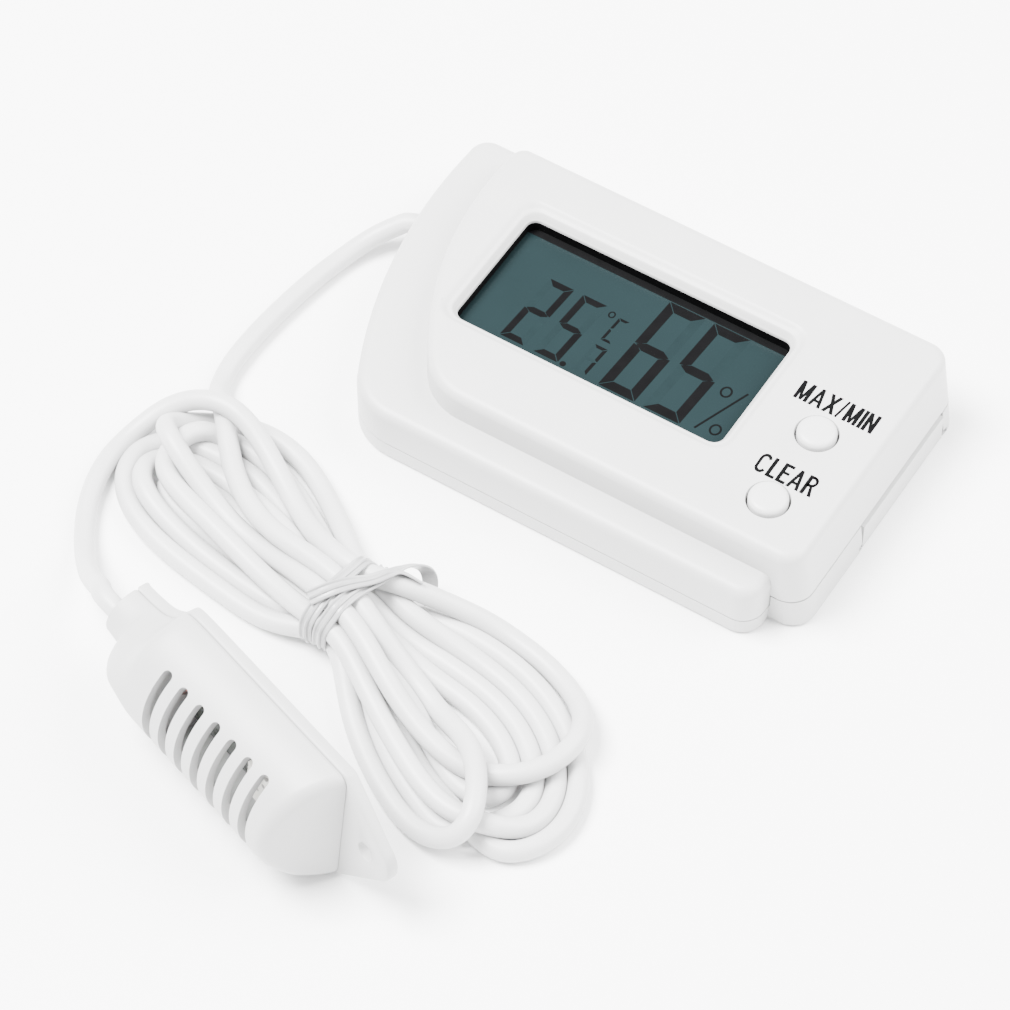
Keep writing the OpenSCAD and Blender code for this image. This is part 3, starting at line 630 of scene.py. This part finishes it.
def letter(ch):
    """Width and strokes of a bold narrow capital that is 1 high."""
    w = 0.2
    h = w / 2
    if ch == "M":
        return 0.74, [bar((h, 0), (h, 1), w), bar((0.74 - h, 0), (0.74 - h, 1), w),
                      [(0.0, 1), (0.2, 1), (0.44, 0.02), (0.3, 0.02)],
                      [(0.54, 1), (0.74, 1), (0.44, 0.02), (0.3, 0.02)]]
    if ch == "A":
        return 0.68, [[(0, 0), (0.18, 0), (0.42, 1), (0.26, 1)], [(0.5, 0), (0.68, 0), (0.42, 1), (0.26, 1)],
                      bar((0.14, 0.3), (0.54, 0.3), 0.14)]
    if ch == "X":
        return 0.66, [[(0, 0), (0.2, 0), (0.66, 1), (0.46, 1)], [(0.46, 0), (0.66, 0), (0.2, 1), (0, 1)]]
    if ch == "/":
        return 0.34, [[(0, 0), (0.13, 0), (0.34, 1), (0.21, 1)]]
    if ch == "I":
        return 0.17, [bar((h, 0), (h, 1), w)]
    if ch == "N":
        return 0.6, [bar((h, 0), (h, 1), w), bar((0.6 - h, 0), (0.6 - h, 1), w),
                     [(0, 1), (0.18, 1), (0.6, 0), (0.42, 0)]]
    if ch == "L":
        return 0.48, [bar((h, 0), (h, 1), w), bar((0, 0.075), (0.48, 0.075), 0.15)]
    if ch == "E":
        return 0.52, [bar((h, 0), (h, 1), w), bar((0, 0.075), (0.52, 0.075), 0.15),
                      bar((0, 0.53), (0.48, 0.53), 0.14), bar((0, 0.925), (0.52, 0.925), 0.15)]
    if ch == "C":
        pts = [(0.3 + 0.225 * math.cos(math.radians(a)),
                (0.69 if a <= 180 else 0.31) + 0.235 * math.sin(math.radians(a))) for a in range(20, 341, 20)]
        return 0.6, bend_stroke(pts, 0.155)
    if ch == "R":
        bowl = [(h, 0.93), (0.32, 0.93), (0.43, 0.88), (0.49, 0.78), (0.49, 0.68), (0.43, 0.57), (0.32, 0.51),
                (h, 0.51)]
        leg = [(0.27, 0.5), (0.42, 0.5), (0.62, 0), (0.43, 0)]
        return 0.62, [bar((h, 0), (h, 1), w)] + bend_stroke(bowl, 0.145) + [leg]
    raise ValueError("no strokes for " + ch)


def label(name, text, x0, x1, y0, y1):
    """Word printed on the top of the case between x0 and x1, y0 and y1."""
    widths = [letter(c)[0] for c in text]
    gap = 0.08
    total = sum(widths) + gap * (len(text) - 1)
    sx, sy = (x1 - x0) / total, y1 - y0
    polygons, x = [], 0
    for c in text:
        w, strokes = letter(c)
        polygons += [[(x0 + (x + px) * sx, y0 + py * sy) for px, py in poly] for poly in strokes]
        x += w + gap
    return flat_shapes(name, polygons, TOP - 0.005, ink, 0.025)


label("label_max_min", "MAX/MIN", 23.7, 35.7, 3.9, 7.2)
label("label_clear", "CLEAR", 25.2, 34.1, -9.55, -6.15)

# ------------------------------------------------------------------ display
LIT = {"2": "abged", "5": "afgcd", "6": "afgcde", "7": "abc", "C": "afed"}


def digit(names, x0, y0, w, h, t, lean):
    """The named ones of a digit's seven segments, t wide with narrow gaps, leaned to the right."""
    g, m = 0.09, h / 2
    shapes = {
        "a": [(g, h), (w - g, h), (w - g - t, h - t), (g + t, h - t)],
        "d": [(g, 0), (w - g, 0), (w - g - t, t), (g + t, t)],
        "g": [(g * 1.5 + t * 0.1, m), (t + g, m + t / 2), (w - t - g, m + t / 2), (w - g * 1.5 - t * 0.1, m),
              (w - t - g, m - t / 2), (t + g, m - t / 2)],
        "f": [(0, h - g), (0, m + g), (t * 0.5, m + g + t * 0.1), (t, m + t / 2 + g), (t, h - t - g)],
        "e": [(0, g), (0, m - g), (t * 0.5, m - g - t * 0.1), (t, m - t / 2 - g), (t, t + g)],
        "b": [(w, h - g), (w, m + g), (w - t * 0.5, m + g + t * 0.1), (w - t, m + t / 2 + g),
              (w - t, h - t - g)],
        "c": [(w, g), (w, m - g), (w - t * 0.5, m - g - t * 0.1), (w - t, m - t / 2 - g), (w - t, t + g)],
    }
    return [[(x0 + x + lean * y / h, y0 + y) for x, y in shapes[k]] for k in names]


def ring_bars(cx, cy, rx, ry, w, n=28):
    """Oval ring of line width w."""
    pts = [(cx + rx * math.cos(2 * math.pi * i / n), cy + ry * math.sin(2 * math.pi * i / n))
           for i in range(n + 1)]
    return [bar(a, b, w) for a, b in zip(pts, pts[1:])]


# Each row: left edge, bottom edge, width, height, segment width and lean of a digit.
DIGIT_Y = -5.75
BIG = (5.75, 17.5, 1.45, 1.0)
SMALL = (3.9, 12.0, 1.0, 0.75)
HUMIDITY_TENS, HUMIDITY_ONES = (-1.0, DIGIT_Y, *BIG), (6.1, DIGIT_Y, *BIG)
DEGREE_TENS, DEGREE_ONES = (-16.9, DIGIT_Y + 0.2, *SMALL), (-11.5, DIGIT_Y + 0.2, *SMALL)
DEGREE_TENTHS, DEGREE_SIGN = (-5.3, DIGIT_Y + 0.3, 2.1, 5.4, 0.5, 0.35), (-4.75, 1.0, 1.7, 4.6, 0.4, 0.3)

lit = digit(LIT["6"], *HUMIDITY_TENS) + digit(LIT["5"], *HUMIDITY_ONES)
lit += digit(LIT["2"], *DEGREE_TENS) + digit(LIT["5"], *DEGREE_ONES)
lit += digit(LIT["7"], *DEGREE_TENTHS) + digit(LIT["C"], *DEGREE_SIGN)
lit += [circle(-6.85, -5.35, 0.45, 14)]
lit += ring_bars(-5.6, 5.5, 0.42, 0.5, 0.2) + ring_bars(14.5, 2.3, 0.72, 0.85, 0.28)
lit += ring_bars(16.5, -4.0, 0.72, 0.85, 0.28) + [bar((13.9, -5.2), (17.2, 3.6), 0.3)]
flat_shapes("display_lit", lit, LCD_TOP, segment, 0.012)
unlit = digit("b", *HUMIDITY_TENS) + digit("be", *HUMIDITY_ONES)
unlit += digit("fc", *DEGREE_TENS) + digit("be", *DEGREE_ONES) + digit("defg", *DEGREE_TENTHS)
flat_shapes("display_unlit", unlit, LCD_TOP, ghost, 0.004)
# A near-black strip along the display's top edge deepens the dark band there: painted shade.
top_edge_shade = [(-23.3, 13.05), (19.0, 13.05), (19.0, 11.9), (-23.3, 11.9)]
flat_shapes("display_top_edge_painted_shade", [top_edge_shade], LCD_TOP, recess_painted_shade, 0.006)

# ------------------------------------------------------------------ probe cover
PROBE_R = 10.25
ARC_STEPS = 72
BODY_START, BODY_END = 4, 30.4
END_SLOPE = 0.3415
END_ROUND = 1.5
SLOTS, SLOT_START, SLOT_PITCH, SLOT_HALF_WIDTH = 7, 4.1, 3.38, 0.8
CORD_HOLE_R = 1.5


def between(x, pts):
    """Value at x of the curve through pts."""
    return float(np.interp(x, [p[0] for p in pts], [p[1] for p in pts]))


# Half the width and the height of the shoulder and neck, at places along the probe.
half_width = catmull([(-12, 3.9, 0), (-9, 4.1, 0), (-6, 4.75, 0), (-3.7, 6.3, 0), (-2.2, 8.3, 0),
                      (-1.3, 9.6, 0), (-0.2, 10.05, 0), (1.6, 10.2, 0), (4, 10.25, 0)], 8)
top_height = catmull([(-12, 4.9, 0), (-9, 5.2, 0), (-8.3, 5.45, 0), (-7.9, 5.8, 0), (-7.5, 7.1, 0),
                      (-6.9, 8.15, 0), (-6.2, 8.9, 0), (-5.3, 9.6, 0), (-4.4, 9.95, 0), (-3, 10.15, 0),
                      (-1, 10.22, 0), (4, 10.25, 0)], 8)


def section(a, b, u_of_w, w0=0.05):
    """Half ellipse a wide and b high from one side of the base plane to the other, at u_of_w along it."""
    pts = []
    for k in range(ARC_STEPS + 1):
        t = math.radians(-90 + 180 * k / ARC_STEPS)
        v, w = a * math.sin(t), max(w0, b * math.cos(t))
        v *= 1 - 0.22 / a * max(0, 1 - (w - w0) / 0.3)
        pts.append(probe_point(u_of_w(w), v, w))
    return pts


def cover_solid():
    """Outer form of the cover: neck, shoulder, half round body and the slanted end with its soft edge."""
    t = Shell()
    us = [-12, -11.85, -11, -9.5, -8.8, -8.3, -8.05, -7.85, -7.7, -7.55, -7.4, -7.2, -6.9, -6.55, -6.2,
          -5.8, -5.3, -4.8, -4.4, -3.9, -3.4, -2.9, -2.6, -2.1, -1.7, -1.35, -1.05, -0.75, -0.45, -0.1,
          0.3, 0.8, 1.4, 2.2, 3.1, BODY_START]
    rings = []
    for k, u in enumerate(us):
        a, b = between(u, half_width), between(u, top_height)
        if k == 0:
            a, b = a - 0.18, b - 0.18
        rings.append(section(a, b, lambda w, u=u: u))
    for k in range(1, 13):
        rings.append(section(PROBE_R, PROBE_R, lambda w, k=k: BODY_START
                             + (BODY_END - END_SLOPE * w - BODY_START) * k / 12))
    for k in range(1, 9):
        q = math.radians(11.25 * k)
        r = PROBE_R - END_ROUND * (1 - math.cos(q))
        rings.append(section(r, r, lambda w, q=q: BODY_END + 1.55 * math.sin(q) - END_SLOPE * w))
    for r in (7.4, 5.8, 4, 2, 0.6):
        rings.append(section(r, r, lambda w: BODY_END + 1.55 - END_SLOPE * w))
    t.capped(rings)
    return t


def closed_object(name, shell):
    """Closed mesh without a body or material, for the cuts."""
    me = bpy.data.meshes.new(name)
    me.from_pydata([tuple(c * MM for c in v) for v in shell.verts], [], shell.faces)
    bm = bmesh.new()
    bm.from_mesh(me)
    bmesh.ops.remove_doubles(bm, verts=bm.verts, dist=0.002 * MM)
    bmesh.ops.dissolve_degenerate(bm, edges=bm.edges, dist=1e-8)
    bmesh.ops.recalc_face_normals(bm, faces=bm.faces)
    bm.to_mesh(me)
    bm.free()
    ob = bpy.data.objects.new(name, me)
    bpy.context.scene.collection.objects.link(ob)
    return ob


def hollow():
    """The cover's inside, open towards the base."""
    t = Shell()
    inner = PROBE_R - 1.3
    rings = []
    for u in (2.5, 28.2):
        ring = []
        for angle in range(-90, 91, 5):
            v, w = inner * math.sin(math.radians(angle)), inner * math.cos(math.radians(angle))
            slant = END_SLOPE * 0.8 * max(0, w) if u > 20 else 0
            ring.append(probe_point(u - slant, v, max(-1, w if abs(angle) < 90 else -1)))
        rings.append(ring)
    t.capped(rings)
    return t


def slot(number):
    """One slot across the dome, with round ends."""
    t = Shell()
    h0 = SLOT_HALF_WIDTH
    u0 = SLOT_START + SLOT_PITCH * number
    reach = math.radians(50) * PROBE_R
    ends = [-reach + h0 * (1 - math.cos(math.radians(q))) for q in (20, 40, 60, 80)]
    steps = [-reach + 0.02] + ends
    steps += [(-reach + h0) + (2 * reach - 2 * h0) * q / 24 for q in range(25)]
    steps += [-x for x in reversed(ends)] + [reach - 0.02]
    rings = []
    for arc_s in steps:
        over = max(0, abs(arc_s) - (reach - h0))
        h = math.sqrt(max(0.0004, h0 ** 2 - over ** 2))
        f = arc_s / PROBE_R
        corners = ((-h, 7.9), (h, 7.9), (h * 1.02, 11.5), (-h * 1.02, 11.5))
        rings.append([probe_point(u0 + du, r * math.sin(f), r * math.cos(f)) for du, r in corners])
    t.capped(rings)
    return t


def cord_hole():
    """The round way in for the cord through the neck."""
    t = Shell()
    turns = [2 * math.pi * k / 32 for k in range(32)]
    around = [(CORD_HOLE_R * math.cos(a), CORD_RISE + CORD_HOLE_R * math.sin(a)) for a in turns]
    t.capped([[probe_point(u, v, w) for v, w in around] for u in (-13, 4)])
    return t


cover = closed_object("probe_cover_shell", cover_solid())
for k, part in enumerate([hollow()] + [slot(i) for i in range(SLOTS)] + [cord_hole()]):
    tool = closed_object("cut_%d" % k, part)
    mod = cover.modifiers.new("cut", "BOOLEAN")
    mod.operation = "DIFFERENCE"
    mod.solver = "EXACT"
    mod.object = tool
    deps = bpy.context.evaluated_depsgraph_get()
    done = bpy.data.meshes.new_from_object(cover.evaluated_get(deps))
    cover.modifiers.clear()
    cover.data = done
    bpy.data.objects.remove(tool)
paint(cover, probe_white)
finish_mesh(cover.data, 28)
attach(cover, "case")
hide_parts("probe_cover")

# ------------------------------------------------------------------ probe base with its ear
EAR_U, EAR_R, EAR_HOLE_R = 36.6, 3.4, 1.45
edge = [(p[0], p[1]) for p in half_width if -12 <= p[0] <= 4][::2]
tip = [(EAR_U + 1.2 + EAR_R * math.cos(math.radians(a)), EAR_R * math.sin(math.radians(a)))
       for a in range(58, -59, -6)]
upper = edge + [(12, PROBE_R), (20, PROBE_R), (28, PROBE_R), (31.3, PROBE_R), (31.9, 10.0)]
outline = upper + tip + [(u, -v) for u, v in reversed(upper)]
ear_hole = circle(0, 0, EAR_HOLE_R, 40)
# How far in and how high: the rim of the plate and the hole, from its upper to its lower face.
RIM = ((0.25, -0.05), (0.1, -0.14), (0, -0.32), (0, -1.5), (0.08, -1.7), (0.28, -1.8))
HOLE = ((1.62, -0.05), (1.5, -0.1), (1.45, -0.22), (1.45, -1.63), (1.5, -1.75), (1.6, -1.8))


def inset(pts, d):
    """Outline moved inwards by d along its corner normals."""
    a = np.array(pts)
    n = len(a)
    out = []
    for i in range(n):
        e = a[(i + 1) % n] - a[i - 1]
        e /= max(1e-9, np.linalg.norm(e))
        out.append(tuple(a[i] + d * np.array([e[1], -e[0]])))
    return out


t = Shell()
rims = [t.ring([probe_point(u, v, w) for u, v in inset(outline, d)]) for d, w in RIM]
for a, b in zip(rims, rims[1:]):
    t.band(a, b)
bores = [t.ring([probe_point(EAR_U + u * r / EAR_HOLE_R, v * r / EAR_HOLE_R, w) for u, v in ear_hole])
         for r, w in HOLE]
for a, b in zip(bores, bores[1:]):
    t.band(a, b)


def fill_slanted(shell, loops):
    """Flat face in the probe's plane: the loops are filled in the probe's own coordinates."""
    keep = shell.verts
    flat = list(keep)
    along = probe_point(1, 0, 0) - PROBE_ORIGIN
    across = probe_point(0, 1, 0) - PROBE_ORIGIN
    for loop in loops:
        for i in loop:
            p = np.array(keep[i]) - PROBE_ORIGIN
            flat[i] = (p @ along, p @ across, 0)
    shell.verts = flat
    shell.fill(loops)
    shell.verts = keep


fill_slanted(t, [rims[0], bores[0]])
fill_slanted(t, [rims[-1], bores[-1]])
base = new_object("probe_base_plate", t.verts, t.faces, [probe_white], smooth=32)
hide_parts("probe_base")

# ------------------------------------------------------------------ tie round the hank
BUNDLE_MIDDLE = np.array([-51.3, 4.8])
hulls = {}


def hull(pts):
    """Corners of the smallest convex outline round the points, in order."""
    pts = sorted(map(tuple, pts))

    def half(seq):
        out = []
        for p in seq:
            while len(out) > 1 and ((out[-1][0] - out[-2][0]) * (p[1] - out[-2][1])
                                    - (out[-1][1] - out[-2][1]) * (p[0] - out[-2][0])) <= 0:
                out.pop()
            out.append(p)
        return out

    a, b = half(pts), half(reversed(pts))
    return np.array(a[:-1] + b[:-1])


def bundle(x, angle, lift):
    """Point on the surface of the bundle of strands at x, in the given direction round its middle."""
    key = round(x * 2) / 2
    if key not in hulls:
        near = line[np.abs(line[:, 0] - key) < 1.3][:, 1:]
        near = near[(near[:, 0] > -60) & (near[:, 0] < -42)]
        around = np.linspace(0, 2 * math.pi, 24, endpoint=False)
        hulls[key] = hull(np.array([(y + CORD_R * math.cos(a), z + CORD_R * math.sin(a))
                                    for y, z in near for a in around]))
    pts = hulls[key] - BUNDLE_MIDDLE
    ray = np.array([math.cos(angle), math.sin(angle)])
    best = 0.0
    for p0, p1 in zip(pts, np.roll(pts, -1, axis=0)):
        side = p1 - p0
        den = ray[0] * side[1] - ray[1] * side[0]
        if abs(den) > 1e-9:
            reach = (p0[0] * side[1] - p0[1] * side[0]) / den
            along = (p0[0] * ray[1] - p0[1] * ray[0]) / den
            if reach > best and -1e-6 <= along <= 1 + 1e-6:
                best = reach
    y, z = BUNDLE_MIDDLE + ray * (best + lift)
    return (x, y, max(z, 0.6))


# Cross-section of the tie's strip, whose wire rib runs in its middle.
RIBBON = [(-1.0, 0.0), (-1.07, 0.14), (-1.0, 0.3), (-0.84, 0.36), (-0.68, 0.26), (-0.6, 0.16), (-0.3, 0.15),
          (-0.22, 0.36), (0, 0.48), (0.22, 0.36), (0.3, 0.15), (0.6, 0.16), (0.68, 0.26), (0.84, 0.36),
          (1.0, 0.3), (1.07, 0.14), (1.0, 0.0)]


def ribbon(name, path, normals):
    """The tie's strip, swept along path with the given outward normals."""
    path, normals = np.array(path, float), np.array(normals, float)
    t = Shell()
    rings = []
    for i in range(len(path)):
        d = path[min(i + 1, len(path) - 1)] - path[max(i - 1, 0)]
        d /= np.linalg.norm(d)
        nrm = normals[i] - d * (normals[i] @ d)
        nrm /= np.linalg.norm(nrm)
        side = np.cross(d, nrm)
        rings.append([tuple(path[i] + side * x + nrm * z) for x, z in RIBBON])
    t.capped(rings)
    ob = new_object(name, t.verts, t.faces, [tie_pvc], smooth=40)
    return ob


def along_path(path, passes):
    """Evenly spaced, softened path."""
    q = resample(np.array(path, float), 0.35)
    for _ in range(passes):
        p = q.copy()
        p[1:-1] = 0.5 * q[1:-1] + 0.25 * (q[:-2] + q[2:])
        q = p
    return q


def outward(path):
    """Directions away from the middle of the bundle."""
    return [(0.0, p[1] - BUNDLE_MIDDLE[0], p[2] - BUNDLE_MIDDLE[1]) for p in path]


# The strip goes twice round the bundle: its middle's x, and its direction in degrees, 90 up and 180 south.
wraps = [(-9.2, 55), (-9.9, 75), (-10.5, 95), (-11.0, 125), (-11.6, 155), (-12.0, 180), (-12.3, 215),
         (-12.6, 270), (-12.4, 320), (-12.2, 360), (-12.4, 395), (-12.9, 430), (-13.3, 460), (-13.7, 490),
         (-14.1, 520), (-14.3, 545), (-14.0, 590), (-13.0, 630), (-11.6, 680), (-10.4, 715), (-9.8, 740)]
turn = np.interp(np.arange(55, 741, 4), [w[1] for w in wraps], np.arange(len(wraps)))
STRIP_LIFT = 0.06
curl = [(-4.0, -42.9, 0.9), (-4.7, -42.3, 1.3), (-5.1, -41.4, 3.2), (-5.9, -41.2, 5.2), (-7.0, -42.3, 6.6),
        (-8.2, -44.2, 7.4)]
path = list(catmull(curl, 6))
for w in turn:
    x = float(np.interp(w, np.arange(len(wraps)), [k[0] for k in wraps]))
    a = float(np.interp(w, np.arange(len(wraps)), [k[1] for k in wraps]))
    path.append(bundle(x, math.radians(a), STRIP_LIFT))
path = along_path(path, 8)
normals = np.array(outward(path))
# The free end curls over, so its face turns away from the bundle towards the tip.
n_curl = int(np.argmax(path[:, 0] < -8.6))
for k in range(n_curl):
    q = 1 - k / n_curl
    turned = Vector(normals[k]).normalized()
    turned.rotate(Matrix.Rotation(1.9 * q, 3, Vector((0.6, -0.7, 0.4))))
    normals[k] = turned
tie = ribbon("tie_wrap", path, normals)
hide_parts("cord_tie")
# The other end lies over the first turns: x, direction and height above the bundle.
STUB = ((-9.4, 62, 0.75), (-10.4, 74, 0.75), (-11.5, 88, 0.75), (-12.6, 102, 0.75), (-13.6, 116, 0.8),
        (-14.5, 127, 1.0), (-15.1, 134, 1.3))
stub_top = [bundle(x, math.radians(a), lift) for x, a, lift in STUB]
stub_path = along_path(catmull([(-4.6, -44.6, 6.9), (-6.2, -44.9, 7.8), (-8.0, -45.6, 8.5)] + stub_top, 8), 8)
stub = ribbon("tie_end", stub_path, outward(stub_path))

cord.data.materials.append(cord_white)
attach(cord, "case")
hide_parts("cord_lead", "cord_hank", "cord_tail")

# ------------------------------------------------------------------ carried-over CAD pieces
looks = {"rear_shell": rear_white, "battery_door": rear_white, "lcd_glass": lcd, "lcd_reflector": reflector,
         "zebra_strip": elastomer, "main_pcb": board, "probe_pcb": dark_board, "controller_chip": resin,
         "thermistor": resin, "max_min_dome": spring, "clear_dome": spring, "case_screws": zinc,
         "pcb_screws": zinc,
         "battery_cell_a": nickel, "battery_cell_b": nickel, "battery_contact_pos": tinned,
         "battery_contact_neg": tinned, "battery_bridge": tinned, "lead_core_wires": cores,
         "probe_core_wires": cores, "humidity_sensor": sensor}
for name, mat in looks.items():
    paint(nodes[name], mat)

# ------------------------------------------------------------------ floor and light
# The floor and the lights are in metres.
FLOOR_HALF = 4
floor = bpy.data.objects.new("floor", bpy.data.meshes.new("floor"))
floor_corners = [(x * FLOOR_HALF, y * FLOOR_HALF, 0) for x, y in ((-1, -1), (1, -1), (1, 1), (-1, 1))]
floor.data.from_pydata(floor_corners, [], [(0, 1, 2, 3)])
floor.data.materials.append(material("floor_paper", (0.93, 0.93, 0.93), 0.9, 0.004, 8, 0.05, 400, 0.05))
bpy.context.scene.collection.objects.link(floor)

world = bpy.data.worlds.new("studio")
bpy.context.scene.world = world
world.use_nodes = True
world.node_tree.nodes["Background"].inputs["Color"].default_value = (1, 1, 1, 1)
world.node_tree.nodes["Background"].inputs["Strength"].default_value = 1.7


def area_light(name, at, aim, size, power):
    """Soft box at a place that shines towards aim."""
    lamp = bpy.data.lights.new(name, "AREA")
    lamp.shape = "RECTANGLE"
    lamp.size, lamp.size_y = size
    lamp.energy = power
    ob = bpy.data.objects.new(name, lamp)
    ob.location = at
    ob.rotation_euler = (Vector(aim) - Vector(at)).to_track_quat("-Z", "Y").to_euler()
    bpy.context.scene.collection.objects.link(ob)


area_light("key", (-0.38, -0.22, 0.85), (0, -0.02, 0), (0.5, 0.5), 66.0)
area_light("fill", (0.5, 0.35, 0.65), (0, -0.02, 0), (0.7, 0.7), 30.0)
